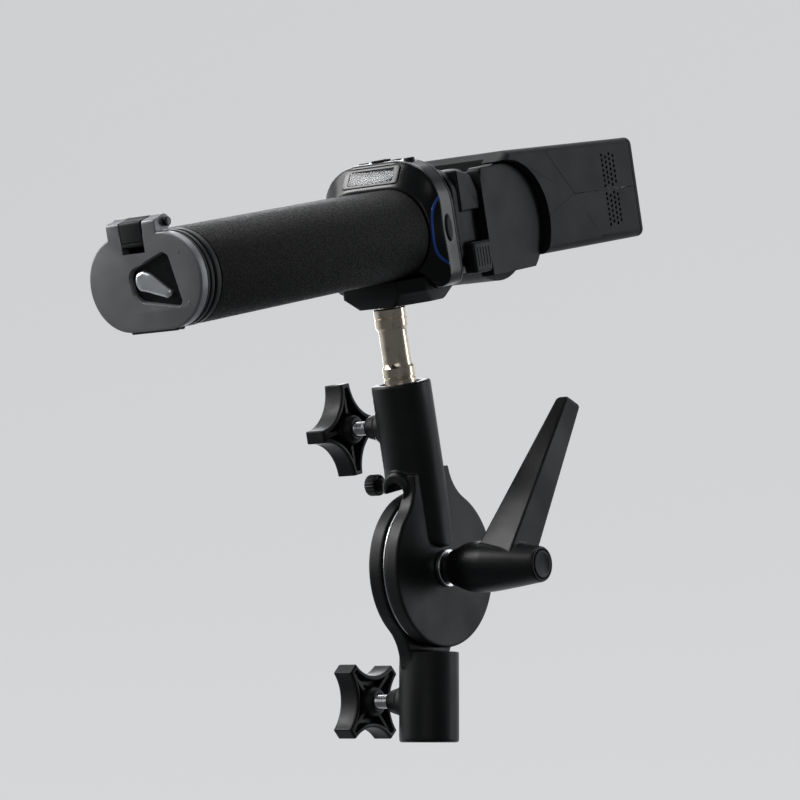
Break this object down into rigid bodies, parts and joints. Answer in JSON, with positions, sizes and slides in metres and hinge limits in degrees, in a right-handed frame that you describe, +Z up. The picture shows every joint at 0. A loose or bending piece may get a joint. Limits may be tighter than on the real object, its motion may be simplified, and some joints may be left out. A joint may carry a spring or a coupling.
{
  "type": "battery strobe on a tilting umbrella bracket",
  "caption": "Battery strobe with a long oval grip, control collar and swivelling, tilting zoom head, on a chrome spigot in a tilting umbrella bracket with lever and star knobs.",
  "frame": {"origin": "centre of the lower socket's floor, where the top of the light stand's stud rests", "axes": "+Z up along the lower tube; +Y forward, the way the lamp head points; +X towards the clamping lever"},
  "size_m": [0.1002, 0.298, 0.2724],
  "materials": {
    "bracket_paint": "satin black powder coat on cast metal",
    "knob_plastic": "black moulded plastic, matt",
    "steel": "bright turned steel",
    "brass": "turned brass",
    "spigot_chrome": "polished chrome",
    "grip_cover": "black fine-grained leatherette",
    "body_matte": "black plastic, matt",
    "body_gloss": "black plastic, glossy",
    "head_plastic": "charcoal plastic, fine matt texture",
    "door_satin": "mid grey satin",
    "key_metal": "dark bright plated metal",
    "trim_blue": "blue trim",
    "board": "green circuit board",
    "cell_wrap": "printed sleeve on a cell, no lettering",
    "lens": "clear moulded fresnel panel",
    "mirror": "bright reflector sheet"
  },
  "bodies": {
    "lower_half": {"lower_yoke": "bracket_paint", "hinge_nut": "steel", "friction_washer": "steel"},
    "lower_pad": {"lower_clamp_pad": "brass"},
    "lower_knob": {"lower_knob_screw": "steel", "lower_star_knob": "knob_plastic"},
    "upper_half": {"upper_yoke": "bracket_paint"},
    "umbrella_screw": {"umbrella_thumbscrew": "knob_plastic"},
    "upper_pad": {"upper_clamp_pad": "brass"},
    "upper_knob": {"upper_knob_screw": "steel", "upper_star_knob": "knob_plastic"},
    "lever": {"clamp_lever": "bracket_paint", "lever_stud": "steel", "lever_washer": "steel", "lever_end_cap": "knob_plastic"},
    "flash_body": {"spigot": "spigot_chrome", "grip_shell": "body_matte", "grip_sleeve": "grip_cover", "grip_end_ring": "body_gloss", "collar_shell": "body_gloss", "mounting_foot": "body_matte", "thread_insert": "brass", "side_trim": "trim_blue", "panel_glass": "body_gloss", "lcd_module": "body_matte", "main_board": "board", "main_capacitor": "body_matte", "magazine_frame": "body_matte", "door_hinge_pin": "body_gloss", "battery_cell_1": "cell_wrap", "battery_cell_2": "cell_wrap", "battery_cell_3": "cell_wrap", "battery_cell_4": "cell_wrap", "battery_cell_5": "cell_wrap", "battery_cell_6": "cell_wrap", "battery_cell_7": "cell_wrap", "battery_cell_8": "cell_wrap"},
    "door": {"battery_door": "door_satin", "door_gasket": "body_matte"},
    "key": {"door_key": "key_metal"},
    "side_press": {"side_button": "body_matte"},
    "dial": {"control_dial": "body_matte"},
    "power_press": {"power_button": "body_matte"},
    "mode_press": {"mode_button": "body_matte"},
    "test_press": {"test_button": "body_matte"},
    "neck": {"neck_base": "body_matte", "swivel_ring": "steel", "neck_fork": "body_matte", "tilt_axle": "steel"},
    "latch": {"latch_button": "body_gloss"},
    "head": {"head_top_shell": "head_plastic", "head_bottom_shell": "head_plastic", "front_bezel": "head_plastic", "fresnel_lens": "lens", "zoom_guide_rod": "steel", "zoom_motor": "steel"},
    "lead_screw": {"zoom_lead_screw": "steel"},
    "carriage": {"zoom_carriage": "body_matte", "reflector": "mirror", "flash_tube": "lens"}
  },
  "joints": [
    {"name": "lower_clamp_slide", "type": "slide", "parent": "lower_half", "child": "lower_pad", "axis": [1, 0, 0], "range_m": [-0.0046, 0.0031]},
    {"name": "lower_knob_turn", "type": "hinge", "parent": "lower_pad", "child": "lower_knob", "pos_m": [-0.035, 0, -0.0155], "axis": [1, 0, 0], "range_deg": [-1080, 720]},
    {"name": "stand_tilt", "type": "hinge", "parent": "lower_half", "child": "upper_half", "pos_m": [0, 0, 0.041], "axis": [1, 0, 0], "range_deg": [-104, 76]},
    {"name": "lever_turn", "type": "hinge", "parent": "upper_half", "child": "lever", "pos_m": [0, 0, 0.041], "axis": [1, 0, 0], "range_deg": [0, 75]},
    {"name": "umbrella_screw_turn", "type": "hinge", "parent": "upper_half", "child": "umbrella_screw", "pos_m": [-0.022, -0.00907, 0.07739], "axis": [1, 0, 0], "range_deg": [-720, 0]},
    {"name": "upper_clamp_slide", "type": "slide", "parent": "upper_half", "child": "upper_pad", "axis": [1, 0, 0], "range_m": [-0.0046, 0]},
    {"name": "upper_knob_turn", "type": "hinge", "parent": "upper_pad", "child": "upper_knob", "pos_m": [-0.035, -0.01512, 0.10164], "axis": [1, 0, 0], "range_deg": [-1080, 0]},
    {"name": "pan_turn", "type": "hinge", "parent": "upper_half", "child": "flash_body", "pos_m": [0, -0.02298, 0.13318], "axis": [0, -0.2419, 0.9703], "continuous": true},
    {"name": "door_swing", "type": "hinge", "parent": "flash_body", "child": "door", "pos_m": [-0.0032, -0.17903, 0.16796], "axis": [-1, 0, 0], "range_deg": [0, 110]},
    {"name": "key_turn", "type": "hinge", "parent": "door", "child": "key", "pos_m": [-0.0016, -0.17946, 0.14487], "axis": [0, -0.9703, -0.2419], "range_deg": [0, 42]},
    {"name": "side_button_press", "type": "slide", "parent": "flash_body", "child": "side_press", "axis": [-1, 0, 0], "range_m": [0, 0.001]},
    {"name": "dial_turn", "type": "hinge", "parent": "flash_body", "child": "dial", "pos_m": [0, -0.0323, 0.21021], "axis": [0, -0.2419, 0.9703], "continuous": true},
    {"name": "power_button_press", "type": "slide", "parent": "flash_body", "child": "power_press", "axis": [0, 0.2419, -0.9703], "range_m": [0, 0.0006]},
    {"name": "mode_button_press", "type": "slide", "parent": "flash_body", "child": "mode_press", "axis": [0, 0.2419, -0.9703], "range_m": [0, 0.0006]},
    {"name": "test_button_press", "type": "slide", "parent": "flash_body", "child": "test_press", "axis": [0, 0.2419, -0.9703], "range_m": [0, 0.0006]},
    {"name": "head_swivel", "type": "hinge", "parent": "flash_body", "child": "neck", "pos_m": [0, -0.01543, 0.18556], "axis": [0, 0.9703, 0.2419], "range_deg": [-180, 180]},
    {"name": "latch_press", "type": "slide", "parent": "neck", "child": "latch", "axis": [-1, 0, 0], "range_m": [0, 0.0008]},
    {"name": "head_tilt", "type": "hinge", "parent": "neck", "child": "head", "pos_m": [0, 0.01222, 0.18833], "axis": [-1, 0, 0], "range_deg": [0, 90]},
    {"name": "zoom_screw_turn", "type": "hinge", "parent": "head", "child": "lead_screw", "pos_m": [0.0314, 0.08184, 0.20054], "axis": [0, 0.9703, 0.2419], "range_deg": [0, 1228]},
    {"name": "zoom_slide", "type": "slide", "parent": "head", "child": "carriage", "axis": [0, 0.9703, 0.2419], "range_m": [0, 0.01705]}
  ],
  "couplings": [
    {"joint": "lower_clamp_slide", "follows": "lower_knob_turn", "m_per_rad": 0.00023873},
    {"joint": "upper_clamp_slide", "follows": "upper_knob_turn", "m_per_rad": 0.00023873},
    {"joint": "zoom_screw_turn", "follows": "zoom_slide", "rad_per_m": 1256.6}
  ]
}
